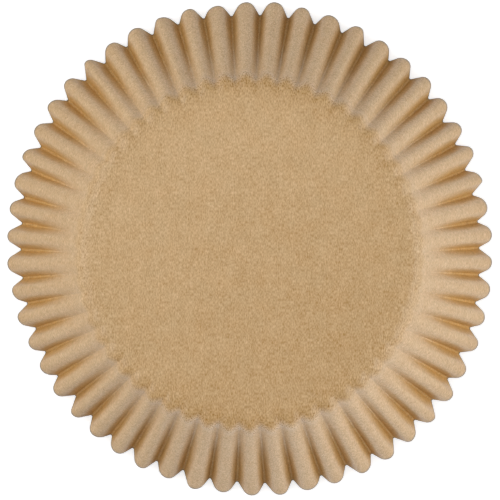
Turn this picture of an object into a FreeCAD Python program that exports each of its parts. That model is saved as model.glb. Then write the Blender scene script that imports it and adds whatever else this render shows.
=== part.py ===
# A pleated paper baking cup, standing upside down on its rim.
# One round sheet of paper is folded into a flat bottom, a small bend and a flaring wall of flutes.
# Lengths are in millimetres and angles in degrees.
# The origin is the centre of the rim, and +Z points up to the flat bottom.

import FreeCAD, Part
import math
import os

# Driving sizes: name, value, meaning
SIZES = (
    ("cup_height", 30.0, "rim to the outside of the flat bottom"),
    ("flat_radius", 24.3, "flat bottom, centre to the start of the bend"),
    ("bend_radius", 1.8, "outside of the bend between bottom and wall"),
    ("rim_radius", 37.5, "axis to the tip of a lobe at the rim"),
    ("flute_pitch", 4.363, "length of rim circle wanted for one flute"),
    ("groove_depth", 1.9, "groove floor below the lobe tips, at the rim"),
    ("groove_radius", 0.2, "outside of the fold at the groove floor"),
    ("flank_angle", 30.0, "side of a lobe, from the lobe's own radius"),
    ("paper_thickness", 0.1, "thickness of the paper"),
)

# Paper turns this much, at most, from one flat facet to the next
FACET_TURN = 12.0

document = FreeCAD.newDocument("baking_cup")
sheet = document.addObject("Spreadsheet::Sheet", "sizes")
for row, (name, value, meaning) in enumerate(SIZES, start=1):
    sheet.set(f"A{row}", name)
    sheet.set(f"B{row}", str(value))
    sheet.set(f"C{row}", meaning)
    sheet.setAlias(f"B{row}", name)
document.recompute()

# Sizes that follow from the sheet
flutes = round(2 * math.pi * sheet.rim_radius / sheet.flute_pitch)
half_flute = 180.0 / flutes
bend_centre_height = sheet.cup_height - sheet.bend_radius


def unit(angle):
    """Unit vector in the XY plane, at an angle from +X."""
    return FreeCAD.Vector(math.cos(math.radians(angle)), math.sin(math.radians(angle)), 0)


def arc(centre, radius, start, end):
    """Points along an arc, one for each facet's edge."""
    steps = max(1, math.ceil(abs(end - start) / FACET_TURN))
    return [centre + unit(start + (end - start) * i / steps) * radius for i in range(steps + 1)]


def wall_angle():
    """Angle of the wall's outward normal above the horizontal, along the middle of a lobe."""
    across = sheet.rim_radius - sheet.flat_radius
    span = math.hypot(across, bend_centre_height)
    below = math.degrees(math.atan2(bend_centre_height, across))
    return math.degrees(math.acos(sheet.bend_radius / span)) - below


def bend_rings(inset):
    """(radius, height) of the rings from the flat bottom, round the bend, to the top of the wall."""
    profile = arc(FreeCAD.Vector(), sheet.bend_radius - inset, 90.0, wall_angle())
    return [(sheet.flat_radius + point.x, bend_centre_height + point.y) for point in profile]


def rim_line(inset):
    """Rim corners from a lobe's tip, on +Y, to the floor of the groove beside it."""
    inset /= math.cos(math.radians(wall_angle()))
    normal = unit(sheet.flank_angle)
    groove_floor = sheet.rim_radius - sheet.groove_depth
    groove_centre = unit(90.0 - half_flute) * (groove_floor + sheet.groove_radius)
    lean = math.sin(math.radians(sheet.flank_angle))
    flank = groove_centre.dot(normal) - sheet.groove_radius
    lobe_radius = (flank - sheet.rim_radius * lean) / (1.0 - lean)
    lobe_centre = FreeCAD.Vector(0, sheet.rim_radius - lobe_radius, 0)
    lobe = arc(lobe_centre, lobe_radius - inset, 90.0, sheet.flank_angle)
    groove = arc(
        groove_centre,
        sheet.groove_radius + inset,
        180.0 + sheet.flank_angle,
        270.0 - half_flute,
    )
    return lobe + groove


def facet(*corners):
    """A flat face through its corners."""
    return Part.Face(Part.makePolygon([*corners, corners[0]]))


def mirrored(points):
    """The same points on the other side of the lobe's middle."""
    return [FreeCAD.Vector(-p.x, p.y, p.z) for p in points]


def skin(inset):
    """One flute's facets on the outside of the paper, or on a surface that far inside it."""
    rings = bend_rings(inset)
    right = [FreeCAD.Vector(r * math.tan(math.radians(half_flute)), r, z) for r, z in rings]
    left = mirrored(right)
    facets = [
        facet(left[i], right[i], right[i + 1], left[i + 1]) for i in range(len(rings) - 1)
    ]
    # Every fold of the groove runs to one point, where the wall meets the bend
    rim = rim_line(inset)
    facets.append(facet(left[-1], right[-1], rim[0]))
    for side, line in ((right[-1], rim), (left[-1], mirrored(rim))):
        facets += [facet(side, a, b) for a, b in zip(line, line[1:])]
    return facets


def cut_edge():
    """One flute's share of the paper's cut edge, flat on the rim plane."""
    outside = rim_line(0.0)
    inside = rim_line(sheet.paper_thickness)
    ring = mirrored(outside)[::-1] + outside[1:] + inside[::-1] + mirrored(inside)[1:]
    return facet(*ring)


def flat_bottom(inset):
    """The whole flat bottom, a polygon with a corner at each groove."""
    radius, height = bend_rings(inset)[0]
    corner = radius / math.cos(math.radians(half_flute))
    corners = [unit(90.0 + half_flute * (2 * i + 1)) * corner for i in range(flutes)]
    return facet(*[FreeCAD.Vector(p.x, p.y, height) for p in corners])


def paper_cup():
    """The folded paper as one closed solid."""
    flute = skin(0.0) + skin(sheet.paper_thickness) + [cut_edge()]
    faces = [flat_bottom(0.0), flat_bottom(sheet.paper_thickness)]
    for i in range(flutes):
        for face in flute:
            faces.append(face.rotated(FreeCAD.Vector(), FreeCAD.Vector(0, 0, 1), 2 * half_flute * i))
    shell = Part.makeShell(faces)
    shell.sewShape()
    return Part.makeSolid(shell)


cup = document.addObject("Part::Feature", "paper_cup")
cup.Label = "paper_cup"
cup.Shape = paper_cup()
cup.Placement = FreeCAD.Placement()
document.recompute()

os.makedirs("parts", exist_ok=True)
for item in document.Objects:
    if {"Invalid", "Error"} & set(item.State):
        raise RuntimeError(f"{item.Label} didn't compute")
if cup.Shape.isNull() or not cup.Shape.isValid() or cup.Shape.Volume <= 0:
    raise RuntimeError("the paper isn't a sound solid")
cup.Shape.exportStep(f"parts/{cup.Label}.step")
print(f"{flutes} flutes, {len(cup.Shape.Faces)} facets, {cup.Shape.Volume:.1f} cubic millimetres")
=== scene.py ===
# Looks of a pleated paper baking cup that stands upside down on its rim.
# Lengths are in metres and angles in degrees, in the part's own frame.
# Angles round the cup are counted from +X towards +Y.

import math

import bpy
import numpy as np
from mathutils import Matrix, Vector


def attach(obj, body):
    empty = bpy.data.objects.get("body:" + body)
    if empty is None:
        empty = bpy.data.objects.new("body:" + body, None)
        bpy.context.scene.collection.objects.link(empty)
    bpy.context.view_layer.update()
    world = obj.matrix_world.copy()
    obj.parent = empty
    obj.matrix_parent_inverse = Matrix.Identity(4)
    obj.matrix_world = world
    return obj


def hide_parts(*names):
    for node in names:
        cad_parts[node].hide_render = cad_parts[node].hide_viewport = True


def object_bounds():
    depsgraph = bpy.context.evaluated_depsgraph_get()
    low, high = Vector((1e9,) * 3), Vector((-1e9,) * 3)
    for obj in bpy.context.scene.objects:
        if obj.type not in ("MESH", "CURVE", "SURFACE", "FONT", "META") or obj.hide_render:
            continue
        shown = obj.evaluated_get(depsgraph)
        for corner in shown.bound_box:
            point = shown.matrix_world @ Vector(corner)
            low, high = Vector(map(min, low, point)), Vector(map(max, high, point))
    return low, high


MM = 0.001

# The folded paper; its height and the radius of its rim come from the CAD model
FLUTES = 54
FLAT_RADIUS = 22.9 * MM
BEND_LENGTH = 4.6 * MM
GROOVE_DEPTH = 1.9 * MM
FLANK_ANGLE = 30.0
CREASE_RADIUS = 0.1 * MM
THICKNESS = 0.1 * MM

# A low ridge between two creases runs along each groove: width and height, at the rim and inwards
RIM_RIDGE = (0.14 * MM, 0.03 * MM)
RIDGE = (0.28 * MM, 0.13 * MM)

# Inwards from the rim the grooves are also deeper and their sides steeper, by this much.
# The higher the power, the closer to the rim this and the wider ridge fade out.
PINCH = 0.14 * MM
PINCH_ANGLE = 8.0
RIDGE_FADE = 6

# Folds crowd together towards the start of their groove, by this power
FAN = 1.2

# Grooves deepen fast below the bend: how far they lie under straight lines of the wall, and
# the power by which this fades from a groove's middle to a lobe's
GROOVE_SAG = 0.08 * MM
SAG_FADE = 4

# Folds grow sharper down the wall, this many times faster than would do to be sharp at the rim
FOLD_GROWTH = 1.45

# The flat bottom reaches this much further out at the middle of a lobe than at a groove.
# Where the bend isn't pressed, only a share of that is left.
SCALLOP = 0.8 * MM
SCALLOP_LEAST = 0.2

# The bend is pressed hardest at right angles to this direction, and not at all along it; the
# same pattern paints shade on the bend, darkest at right angles to it, away from the side lamps.
# The shares are how hard where it starts, and how far round it the most is reached.
PRESS_AXIS = -5.0
PRESS_START = 0.35
PRESS_PEAK = 2 / 3

# Slow waves round the flat bottom and the rim: waves in one turn, size, direction of a crest
FLAT_WAVES = ((1, 0.2 * MM, -90.0), (2, 0.25 * MM, 90.0))
RIM_WAVES = ((2, 0.5 * MM, 115.0), (3, 0.14 * MM, 60.0), (4, 0.2 * MM, 47.0))

# How far the flutes lie from even places: waves as above with sizes in degrees, and one turn of all
SPACING_WAVES = ((1, 0.55, 107.0), (2, 0.4, 120.5), (4, 0.15, 19.0))
SPACING_SHIFT = 0.4

# Differences from one flute to the next, as standard deviations
SEED = 54
LOBE_JITTER = 0.09 * MM
DEPTH_JITTER = 0.09 * MM
ANGLE_JITTER = 0.14
FLANK_JITTER = 2.0

# Mesh steps along the paper and across half a flute
DISC_STEPS = 6
BEND_STEPS = 12
WALL_STEPS = 17
EDGE_STRIP = 0.7 * MM
LOBE_STEPS = 6
FLANK_STEPS = 3
CREASE_STEPS = 2

# The bend's turn is found in rounds, from a first guess
FIRST_TURN = 65.0
TURN_ROUNDS = 20

# Width of the flat sheet, in millimetres, for the scales of the noises, and its middle on the
# texture map
SHEET_WIDTH = 110.8
SHEET_MIDDLE = (0.5, 0.5, 0.0)

# The paper's noises: features in a millimetre, how much finer they are in X, Y and Z, detail,
# roughness
EVEN = (1.0, 1.0, 1.0)
GRAIN = (4.4, (1.45, 0.58, 1.0), 1.0, 0.5)
FLECKS = (2.5, (1.25, 0.42, 1.0), 2.0, 0.6)
MOTTLE = (0.5, (1.35, 0.6, 1.0), 2.0, 0.5)
CLOUDS = (0.08, EVEN, 2.0, 0.55)
HUES = (0.3, EVEN, 3.0, 0.6)

# How far each noise moves the paper's tone: reach of the noise about its middle, strength
GRAIN_TONE = (0.3, 0.76)
FLECKS_TONE = (0.3, 0.4)
MOTTLE_TONE = (0.25, 0.18)
CLOUDS_TONE = (0.25, 0.06)

# The same for the noise that moves its hue
HUES_RANGE = (0.25, 1.0)

# The wall shows more grain than the flat bottom, which ends between these radii, as shares of
# the sheet's width
WALL_GRAIN = 1.35
FLAT_END = (0.19, 0.23)

# Painted light across the flat bottom, lighter towards -X and +Y and darker the other way:
# direction, range along it on the sheet, strength
PAINTED_LIGHT_DIRECTION = (-0.5, 0.87, 0.0)
PAINTED_LIGHT_RANGE = (-0.015, 0.385)
PAINTED_LIGHT = 0.17

# Fibres: features in a millimetre, how much finer before they are turned, detail and roughness
# of their noise, angles with a factor for the scale of each, the noise where they begin and
# are full, and their strength in the tone and in the relief
FIBRES = 0.9
FIBRE_FINENESS = (1.0, 12.0, 1.0)
FIBRE_DETAIL = (1.0, 0.55)
FIBRE_ANGLES = ((78.0, 1.0), (102.0, 1.3), (40.0, 1.1), (140.0, 0.9))
FIBRE_LEVELS = (0.62, 0.72)
FIBRE_TONE = 0.15
FIBRE_RELIEF = 0.35

# Colours in linear red, green and blue: the paper's, what a tone of 1 and a hue of 1 add,
# and tints that paint shade: darker, more orange shade in the folds of the grooves, shade on
# the bend where it is pressed, and a thin grey line of shade along the rim
PAPER = (0.538, 0.341, 0.154)
TONE = (0.18, 0.157, 0.122)
HUE = (0.008, -0.003, -0.006)
GROOVE_SHADE_TINT = (0.975, 0.865, 0.535)
PRESSED_BEND_SHADE = (0.905, 0.86, 0.76)
RIM_LINE_SHADE = (0.3, 0.34, 0.42)

# How sharp a fold is where its tint of painted groove shade begins and is full
CREASE_LEVELS = (0.35, 0.85)

# Gloss: specular level without and with a fold, roughness over the grain, and what a fold adds
# to the roughness and the pressed bend takes off
SPECULAR = (0.6, 0.4)
ROUGHNESS = (0.37, 0.47)
GRAIN_LEVELS = (0.3, 0.7)
CREASE_ROUGHNESS = 0.25
PRESSED_SHINE = 0.15

# Relief of the grain
BUMP_STRENGTH = 0.85
BUMP_HEIGHT = 0.03 * MM

# White table top: size, colour, roughness, and how bright it looks to the camera by itself
TABLE_SIZE = 6.0
TABLE_COLOUR = (0.88, 0.88, 0.88, 1.0)
TABLE_ROUGHNESS = 0.8
TABLE_GLOW = 0.55

# How bright the table glows in the paper's gloss, a painted pool of light that grows towards
# the right-hand lamp: direction of the increase, distance that it takes from the middle of the
# cup, and both ends
SHEEN_DIRECTION = (0.906, -0.423, 0.0)
SHEEN_REACH = 0.05
SHEEN = (0.06, 0.66)

# Lamps: name, place, width and height, light on a surface at the cup that faces the lamp
LAMPS = (
    ("overhead", (-0.05, 0.05, 1.4), (2.2, 1.2), 0.2),
    ("right", (0.838, -0.157, 0.397), (1.1, 0.58), 0.655),
    ("left", (-0.819, 0.12, 0.56), (1.4, 0.8), 0.735),
)

# Light of the room all round, which to the camera is white
ROOM_LIGHT = 0.325
WHITE = (1.0, 1.0, 1.0, 1.0)

# Camera: height above the rim, place beside the axis, how far it sees, width of the frame at
# the rim and its pixels, the pixel where the cup's axis meets the table, and the width of the
# sensor in millimetres
CAMERA_HEIGHT = 1.0
CAMERA_SIDE = (0.0062, 0.0168)
CAMERA_REACH = 10.0
FRAME_WIDTH = 0.07635
FRAME_PIXELS = 500
CUP_PIXEL = (250.75, 248.62)
SENSOR = 36.0


def turned(points, angle):
    """Points in the XY plane, turned about the cup's axis."""
    c, s = math.cos(math.radians(angle)), math.sin(math.radians(angle))
    return points @ np.array([[c, s], [-s, c]])


def arc(centre, radius, start, end, steps):
    """Points along an arc in a plane."""
    angles = np.radians(np.linspace(start, end, steps + 1))
    return np.array(centre) + radius * np.column_stack([np.cos(angles), np.sin(angles)])


def half_flute(tip, floor, half_turn, flank_angle, ridge):
    """Corners from a lobe's tip, on +Y, to the middle of the groove on its right.

    In the groove a low ridge lies between two fine creases.
    """
    ridge_width, ridge_height = ridge
    lean = math.radians(flank_angle)
    normal = np.array([math.cos(lean), math.sin(lean)])
    across = math.radians(90.0 - half_turn)
    outward = np.array([math.cos(across), math.sin(across)])
    aside = np.array([-math.sin(across), math.cos(across)])
    crease = (floor + CREASE_RADIUS) * outward + ridge_width / 2 * aside
    flank = crease @ normal - CREASE_RADIUS
    lobe_radius = (flank - tip * math.sin(lean)) / (1.0 - math.sin(lean))
    lobe = arc((0.0, tip - lobe_radius), lobe_radius, 90.0, flank_angle, LOBE_STEPS)
    fold = arc(crease, CREASE_RADIUS, 180.0 + flank_angle, 270.0 - half_turn, CREASE_STEPS)
    side = np.linspace(lobe[-1], fold[0], FLANK_STEPS + 1)
    return np.vstack([lobe, side[1:-1], fold, (floor + ridge_height) * outward])


def waves(angle, kinds):
    """The sum of the slow waves at an angle round the cup."""
    return sum(
        size * math.cos(math.radians(count * (angle - crest))) for count, size, crest in kinds
    )


def flute_columns(rim_radius):
    """Every line of the paper from the bottom to the rim, clockwise.

    Each has the point where it ends at the rim, the point where it would end with the grooves as
    they are inwards, its angle at the bend, its angle in the flat sheet, and its place between
    a lobe's middle (0) and a groove's (1).
    """
    rng = np.random.default_rng(SEED)
    pitch = 360.0 / FLUTES

    def place(step):
        even = 90.0 + SPACING_SHIFT - pitch * step
        return even + waves(even, SPACING_WAVES) + rng.normal(0, ANGLE_JITTER)

    lobes = [place(k) for k in range(FLUTES)]
    grooves = [place(k + 0.5) for k in range(FLUTES)]
    tips = [rim_radius + waves(a, RIM_WAVES) + rng.normal(0, LOBE_JITTER) for a in lobes]
    floors = [
        rim_radius - GROOVE_DEPTH + waves(a, RIM_WAVES) + rng.normal(0, DEPTH_JITTER)
        for a in grooves
    ]
    flanks = FLANK_ANGLE + rng.normal(0, FLANK_JITTER, (FLUTES, 2))
    rim, inner, bend_angle, sheet_angle, share = [], [], [], [], []
    for k in range(FLUTES):
        left = grooves[k - 1] + (360.0 if k == 0 else 0.0) - lobes[k]
        right = lobes[k] - grooves[k]
        for side, turn, groove in ((-1, left, k - 1), (1, right, k)):
            flank = flanks[k, (side + 1) // 2]
            line = half_flute(tips[k], floors[groove], turn, flank, RIM_RIDGE)
            ridged = half_flute(tips[k], floors[groove] - PINCH, turn, flank - PINCH_ANGLE, RIDGE)
            length = np.r_[0.0, np.cumsum(np.linalg.norm(np.diff(line, axis=0), axis=1))]
            part = length / length[-1]
            # Each line once, from the left groove to the lobe's middle and on to the right groove
            keep = slice(None, 0, -1) if side < 0 else slice(0, -1)
            rim.append(turned(line * (side, 1), lobes[k] - 90.0)[keep])
            inner.append(turned(ridged * (side, 1), lobes[k] - 90.0)[keep])
            share.append(part[keep])
            sheet_angle.append((lobes[k] - side * turn * part)[keep])
            bend_angle.append((lobes[k] - side * turn * (1 - (1 - part) ** FAN))[keep])
    return (
        np.vstack(rim),
        np.vstack(inner),
        np.concatenate(bend_angle),
        np.concatenate(sheet_angle),
        np.concatenate(share),
    )


def bend_line(turn, flat_radius, height):
    """(radius, height) of each row round the bend, which turns gently at both ends."""
    step = BEND_LENGTH / BEND_STEPS
    radius, level = flat_radius, np.full(len(turn), height)
    rows = []
    for i in range(BEND_STEPS):
        part = (i + 0.5) / BEND_STEPS
        slope = turn * part**2 * (3 - 2 * part)
        radius = radius + step * np.cos(slope)
        level = level - step * np.sin(slope)
        rows.append((radius, level))
    return rows


def wall_turn(rim_radius, flat_radius, height):
    """How far the bend turns along each line of the paper, so that it runs on into the wall."""
    turn = np.full(len(rim_radius), math.radians(FIRST_TURN))
    for _ in range(TURN_ROUNDS):
        radius, level = bend_line(turn, flat_radius, height)[-1]
        turn = np.arctan2(level, rim_radius - radius)
    return turn


def paper_surface(rim_radius, height):
    """The outside of the paper as a grid of points, in rows from the middle to the rim.

    With it come the place of each point on the flat sheet, how sharply the paper is folded
    there, and how hard it is pressed round the bend, which also says where shade is painted.
    """
    rim, inner, bend_angle, sheet_angle, share = flute_columns(rim_radius)
    bend = np.radians(bend_angle)
    press = 0.5 - 0.5 * np.cos(2 * (bend - math.radians(PRESS_AXIS)))
    scallop = SCALLOP / 2 * (SCALLOP_LEAST + (1 - SCALLOP_LEAST) * press)
    flat_radius = FLAT_RADIUS + scallop * np.cos(math.pi * share)
    flat_radius += [waves(angle, FLAT_WAVES) for angle in bend_angle]
    turn = wall_turn(np.linalg.norm(rim, axis=1), flat_radius, height)
    out = np.column_stack([np.cos(bend), np.sin(bend)])
    rows, sheet, fold, press_and_shade = [], [], [], []
    for i in range(1, DISC_STEPS + 1):
        radius = flat_radius[:, None] * i / DISC_STEPS
        rows.append(np.column_stack([out * radius, np.full(len(out), height)]))
        sheet.append(out * radius)
        fold.append(np.zeros(len(out)))
        press_and_shade.append(press * (PRESS_START if i == DISC_STEPS else 0.0))
    for i, (radius, level) in enumerate(bend_line(turn, flat_radius, height), start=1):
        rows.append(np.column_stack([out * radius[:, None], level]))
        sheet.append(out * (flat_radius + BEND_LENGTH * i / BEND_STEPS)[:, None])
        fold.append(np.zeros(len(out)))
        round_bend = math.sin(math.pi / 2 * i / (BEND_STEPS * PRESS_PEAK))
        press_and_shade.append(press * (PRESS_START + (1 - PRESS_START) * round_bend))
    # The sheet is round, so each line of the paper has the same length from the middle to the rim
    top = rows[-1]
    across = np.linalg.norm(rim - top[:, :2], axis=1)
    used = flat_radius - FLAT_RADIUS
    length = (used + np.hypot(across, top[:, 2])).min()
    end_height = top[:, 2] - np.sqrt((length - used) ** 2 - across**2)
    end = np.column_stack([rim, end_height])
    ridge = np.column_stack([inner - rim, np.zeros(len(rim))])
    sheet_radius = FLAT_RADIUS + BEND_LENGTH + length
    flat = np.radians(sheet_angle)
    sheet_end = np.column_stack([np.cos(flat), np.sin(flat)]) * sheet_radius
    sheet_top = sheet[-1]
    sag = np.column_stack([out * np.sin(turn)[:, None], np.cos(turn)])
    sag *= (share**SAG_FADE)[:, None]
    for part in (*np.linspace(0, 1, WALL_STEPS + 1)[1:-1], 1 - EDGE_STRIP / length, 1):
        under = GROOVE_SAG * (4 * part * (1 - part)) ** 2
        goal = end + ridge * (1 - part**RIDGE_FADE)
        rows.append(top + (goal - top) * part - sag * under)
        sheet.append(sheet_top + (sheet_end - sheet_top) * part)
        fold.append(share * min(1.0, FOLD_GROWTH * part))
        press_and_shade.append(np.zeros(len(out)))
    chart = np.array(sheet) / (2 * sheet_radius) + SHEET_MIDDLE[:2]
    return np.array(rows), chart, np.array(fold), np.array(press_and_shade)


def grid_normals(points):
    """Unit normals of a closed ring of columns, pointing out of the cup."""
    along = np.gradient(points, axis=0)
    around = np.roll(points, -1, axis=1) - np.roll(points, 1, axis=1)
    normals = np.cross(around, along)
    return normals / np.linalg.norm(normals, axis=2, keepdims=True)


def make_cup(rim_radius, height, material):
    """The paper cup as one closed mesh, with the flat sheet as its texture map."""
    outer, sheet, fold, press_and_shade = paper_surface(rim_radius, height)
    normals = grid_normals(outer)
    normals[:DISC_STEPS] = (0, 0, 1)
    # The cut edge is level, so it is wider than the paper, which leans there
    normals[-1, :, 2] = 0
    normals[-1] /= (normals[-1] ** 2).sum(axis=1, keepdims=True)
    inner = outer - normals * THICKNESS
    rows, columns = outer.shape[:2]
    middle = np.array([[0, 0, height], [0, 0, height - THICKNESS]])
    points = np.vstack([outer.reshape(-1, 3), inner.reshape(-1, 3), middle])
    chart = np.vstack([sheet.reshape(-1, 2), sheet.reshape(-1, 2), [SHEET_MIDDLE[:2]] * 2])
    column = np.arange(columns)
    after = (column + 1) % columns
    faces = []
    for skin in (0, 1):
        base = skin * rows * columns
        centre = 2 * rows * columns + skin
        fan = np.column_stack([np.full(columns, centre), base + after, base + column])
        faces += (fan if skin == 0 else fan[:, ::-1]).tolist()
        for row in range(rows - 1):
            a = base + row * columns + column
            b = base + row * columns + after
            quads = np.column_stack([a, b, b + columns, a + columns])
            faces += (quads if skin == 0 else quads[:, ::-1]).tolist()
    skin_faces = len(faces)
    edge = (rows - 1) * columns
    low = edge + rows * columns
    faces += np.column_stack([edge + column, edge + after, low + after, low + column]).tolist()
    mesh = bpy.data.meshes.new("paper_cup_look")
    mesh.from_pydata(points.tolist(), [], faces)
    mesh.polygons.foreach_set("use_smooth", [i < skin_faces for i in range(len(faces))])
    layer = mesh.uv_layers.new(name="sheet")
    corner = np.zeros(len(mesh.loops), np.int32)
    mesh.loops.foreach_get("vertex_index", corner)
    layer.data.foreach_set("uv", chart[corner].ravel())
    # A thin grey line of painted shade along the rim, on the last strip of the wall
    rim_line_share = np.zeros((rows, columns))
    rim_line_share[-1] = 1
    for name, values in (("fold", fold), ("press_and_shade", press_and_shade), ("rim_line_shade", rim_line_share)):
        stored = mesh.attributes.new(name, "FLOAT", "POINT")
        stored.data.foreach_set("value", np.r_[values.ravel(), values.ravel(), 0, 0])
    mesh.materials.append(material)
    mesh.validate()
    cup = bpy.data.objects.new("paper_cup_look", mesh)
    bpy.context.collection.objects.link(cup)
    return cup


def node(tree, kind, inputs=None, **settings):
    """A node with its settings and the values or links of its inputs."""
    made = tree.nodes.new(kind)
    for name, value in settings.items():
        setattr(made, name, value)
    for name, value in (inputs or {}).items():
        if isinstance(value, bpy.types.NodeSocket):
            tree.links.new(value, made.inputs[name])
        else:
            made.inputs[name].default_value = value
    return made


def sheet_noise(tree, chart, scale, fineness, detail, rough, angle=0.0):
    """Noise on the flat sheet, with its scale in features per millimetre."""
    place = node(
        tree,
        "ShaderNodeMapping",
        {
            "Vector": chart,
            "Scale": [1 / (SHEET_WIDTH * scale * f) for f in fineness],
            "Rotation": (0, 0, math.radians(angle)),
        },
        vector_type="TEXTURE",
    )
    made = node(
        tree,
        "ShaderNodeTexNoise",
        {"Vector": place.outputs["Vector"], "Scale": 1.0, "Detail": detail, "Roughness": rough},
    )
    return made.outputs["Fac"]


def maths(tree, operation, a, b):
    """One step of arithmetic on a node's value."""
    made = node(tree, "ShaderNodeMath", {0: a, 1: b}, operation=operation)
    return made.outputs[0]


def levels(tree, value, low, high, to_low, to_high):
    """A value from one range brought into another."""
    made = node(
        tree,
        "ShaderNodeMapRange",
        {"Value": value, "From Min": low, "From Max": high, "To Min": to_low, "To Max": to_high},
    )
    return made.outputs["Result"]


def field(tree, name):
    """A value stored on the mesh."""
    return node(tree, "ShaderNodeAttribute", attribute_name=name).outputs["Fac"]


def about_zero(tree, noise, reach, strength):
    """A noise brought to values about 0, up to the strength on both sides."""
    return levels(tree, noise, 0.5 - reach, 0.5 + reach, -strength, strength)


def measure(tree, place, operation, vector):
    """One number for each place: its distance from a point, or how far it lies along a vector."""
    made = node(tree, "ShaderNodeVectorMath", {0: place, 1: vector}, operation=operation)
    return made.outputs["Value"]


def added(tree, colour, amount, value):
    """A colour plus an amount of another colour, which the value scales."""
    scale = node(tree, "ShaderNodeCombineXYZ", {"X": value, "Y": value, "Z": value}).outputs[0]
    made = node(
        tree,
        "ShaderNodeVectorMath",
        {0: amount, 1: scale, 2: colour},
        operation="MULTIPLY_ADD",
    )
    return made.outputs[0]


def tinted(tree, colour, tint, value):
    """A colour multiplied by a tint as far as the value says."""
    # The node's sockets for colours are known by their numbers
    made = node(
        tree,
        "ShaderNodeMix",
        {"Factor": value, 6: colour, 7: (*tint, 1.0)},
        data_type="RGBA",
        blend_type="MULTIPLY",
    )
    return made.outputs[2]


def paper_fibres(tree, chart):
    """Short fibres that cross each other, with 1 on a fibre and 0 beside it."""
    fibres = None
    for angle, shift in FIBRE_ANGLES:
        strands = sheet_noise(tree, chart, FIBRES * shift, FIBRE_FINENESS, *FIBRE_DETAIL, angle)
        strands = levels(tree, strands, *FIBRE_LEVELS, 0.0, 1.0)
        fibres = strands if fibres is None else maths(tree, "MAXIMUM", fibres, strands)
    return fibres


def paper_tone(tree, chart, grain, fibres):
    """How light the paper is at each place, about 0."""
    from_middle = measure(tree, chart, "DISTANCE", SHEET_MIDDLE)
    flat = levels(tree, from_middle, *FLAT_END, 1.0, 0.0)
    flecks = about_zero(tree, sheet_noise(tree, chart, *FLECKS), *FLECKS_TONE)
    mottle = about_zero(tree, sheet_noise(tree, chart, *MOTTLE), *MOTTLE_TONE)
    clouds = about_zero(tree, sheet_noise(tree, chart, *CLOUDS), *CLOUDS_TONE)
    # Painted light: the flat bottom is painted lighter towards -X and +Y and darker the other way
    painted_light = measure(tree, chart, "DOT_PRODUCT", PAINTED_LIGHT_DIRECTION)
    painted_light = levels(tree, painted_light, *PAINTED_LIGHT_RANGE, -PAINTED_LIGHT, PAINTED_LIGHT)
    tone = maths(tree, "ADD", about_zero(tree, grain, *GRAIN_TONE), flecks)
    tone = maths(tree, "MULTIPLY", tone, levels(tree, flat, 0.0, 1.0, WALL_GRAIN, 1.0))
    tone = maths(tree, "ADD", tone, mottle)
    tone = maths(tree, "ADD", tone, clouds)
    tone = maths(tree, "ADD", tone, maths(tree, "MULTIPLY", painted_light, flat))
    return maths(tree, "ADD", tone, maths(tree, "MULTIPLY", fibres, FIBRE_TONE))


def paper_material():
    """Unbleached brown paper: fine grain, short fibres and faint clouds, with a dull sheen."""
    material = bpy.data.materials.new("brown_paper")
    material.use_nodes = True
    tree = material.node_tree
    shader = tree.nodes["Principled BSDF"]
    chart = node(tree, "ShaderNodeUVMap", uv_map="sheet").outputs["UV"]
    grain = sheet_noise(tree, chart, *GRAIN)
    fibres = paper_fibres(tree, chart)
    crease = levels(tree, field(tree, "fold"), *CREASE_LEVELS, 0.0, 1.0)
    press_and_shade = field(tree, "press_and_shade")

    colour = added(tree, PAPER, TONE, paper_tone(tree, chart, grain, fibres))
    hue = about_zero(tree, sheet_noise(tree, chart, *HUES), *HUES_RANGE)
    colour = added(tree, colour, HUE, hue)
    # Painted shade in the grooves: darker and more orange where the paper is folded sharply
    colour = tinted(tree, colour, GROOVE_SHADE_TINT, crease)
    # Painted shade on the bend, darkest where it is pressed hardest, away from the side lamps
    colour = tinted(tree, colour, PRESSED_BEND_SHADE, press_and_shade)
    # Painted shade: a thin dark grey line along the rim
    colour = tinted(tree, colour, RIM_LINE_SHADE, field(tree, "rim_line_shade"))
    tree.links.new(colour, shader.inputs["Base Color"])

    specular = levels(tree, crease, 0.0, 1.0, *SPECULAR)
    tree.links.new(specular, shader.inputs["Specular IOR Level"])
    rough = levels(tree, grain, *GRAIN_LEVELS, *ROUGHNESS)
    rough = maths(tree, "ADD", rough, maths(tree, "MULTIPLY", crease, CREASE_ROUGHNESS))
    rough = maths(tree, "SUBTRACT", rough, maths(tree, "MULTIPLY", press_and_shade, PRESSED_SHINE))
    tree.links.new(rough, shader.inputs["Roughness"])

    relief = maths(tree, "ADD", grain, maths(tree, "MULTIPLY", fibres, FIBRE_RELIEF))
    bump = node(
        tree,
        "ShaderNodeBump",
        {"Height": relief, "Strength": BUMP_STRENGTH, "Distance": BUMP_HEIGHT},
    )
    tree.links.new(bump.outputs["Normal"], shader.inputs["Normal"])
    return material


def white_ground():
    """White table top: it catches the cup's shadow, and reads as white where nothing shades it."""
    material = bpy.data.materials.new("white_ground")
    material.use_nodes = True
    tree = material.node_tree
    shader = tree.nodes["Principled BSDF"]
    shader.inputs["Base Color"].default_value = TABLE_COLOUR
    shader.inputs["Roughness"].default_value = TABLE_ROUGHNESS
    shader.inputs["Emission Color"].default_value = WHITE
    rays = node(tree, "ShaderNodeLightPath")
    place = node(tree, "ShaderNodeTexCoord").outputs["Object"]
    # The table glows only in the paper's gloss, brighter towards the right-hand lamp: painted light
    lamp_side = measure(tree, place, "DOT_PRODUCT", SHEEN_DIRECTION)
    sheen = levels(tree, lamp_side, 0.0, SHEEN_REACH, *SHEEN)
    sheen = maths(tree, "MULTIPLY", rays.outputs["Is Glossy Ray"], sheen)
    glow = maths(tree, "MULTIPLY", rays.outputs["Is Camera Ray"], TABLE_GLOW)
    glow = maths(tree, "MAXIMUM", glow, sheen)
    tree.links.new(glow, shader.inputs["Emission Strength"])
    bpy.ops.mesh.primitive_plane_add(size=TABLE_SIZE, location=(0, 0, 0))
    ground = bpy.context.object
    ground.name = "table_top"
    ground.data.materials.append(material)


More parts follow.
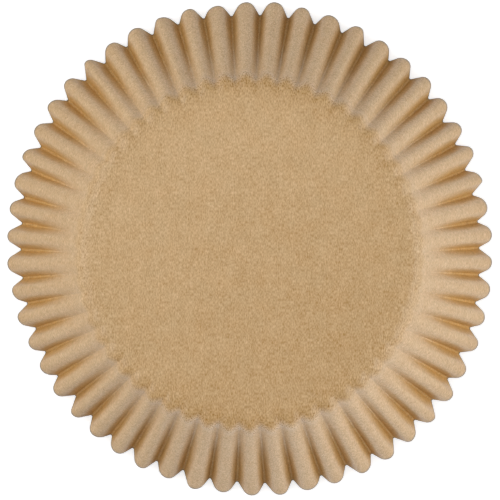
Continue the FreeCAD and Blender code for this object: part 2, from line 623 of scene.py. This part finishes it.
def softbox(name, place, size, level):
    """A lamp of some width and height that is aimed at the cup, where it gives a level of light."""
    light = bpy.data.lights.new(name, "AREA")
    light.shape = "RECTANGLE"
    light.size, light.size_y = size
    light.energy = math.pi**2 * Vector(place).length_squared * level
    lamp = bpy.data.objects.new(name, light)
    lamp.location = place
    lamp.rotation_euler = (-Vector(place)).to_track_quat("-Z", "Y").to_euler()
    lamp.visible_camera = False
    bpy.context.collection.objects.link(lamp)


def lighting():
    """Soft lamps overhead and low on both sides, in a dim room with a white background."""
    for lamp in LAMPS:
        softbox(*lamp)
    world = bpy.data.worlds.new("room")
    bpy.context.scene.world = world
    world.use_nodes = True
    tree = world.node_tree
    rays = node(tree, "ShaderNodeLightPath")
    seen = maths(tree, "MAXIMUM", rays.outputs["Is Camera Ray"], ROOM_LIGHT)
    backdrop = tree.nodes["Background"]
    backdrop.inputs["Color"].default_value = WHITE
    tree.links.new(seen, backdrop.inputs["Strength"])


def camera():
    """Straight above the cup, far off, with the cup's rim at its place in the frame."""
    data = bpy.data.cameras.new("camera")
    data.sensor_width = SENSOR
    data.lens = SENSOR * CAMERA_HEIGHT / FRAME_WIDTH
    data.clip_end = CAMERA_REACH
    eye = bpy.data.objects.new("camera", data)
    pixel = FRAME_WIDTH / FRAME_PIXELS
    target = Vector(
        (
            (FRAME_PIXELS / 2 - CUP_PIXEL[0]) * pixel,
            (CUP_PIXEL[1] - FRAME_PIXELS / 2) * pixel,
            0.0,
        )
    )
    eye.location = (CAMERA_SIDE[0], CAMERA_SIDE[1], CAMERA_HEIGHT)
    back = (eye.location - target).normalized()
    right = Vector((0, 1, 0)).cross(back).normalized()
    eye.rotation_euler = Matrix((right, back.cross(right), back)).transposed().to_euler()
    bpy.context.collection.objects.link(eye)
    bpy.context.scene.camera = eye


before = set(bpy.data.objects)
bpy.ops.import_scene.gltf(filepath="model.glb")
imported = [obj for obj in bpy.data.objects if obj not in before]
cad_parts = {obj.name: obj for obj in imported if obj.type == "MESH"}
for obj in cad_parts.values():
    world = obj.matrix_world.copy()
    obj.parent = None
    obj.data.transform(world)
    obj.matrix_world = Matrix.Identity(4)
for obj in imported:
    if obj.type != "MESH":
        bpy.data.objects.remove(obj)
cad_low, cad_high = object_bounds()
cup = make_cup(cad_high.y, cad_high.z, paper_material())
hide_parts("paper_cup")
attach(cup, "root")
white_ground()
lighting()
camera()
bpy.context.scene.view_settings.view_transform = "Standard"
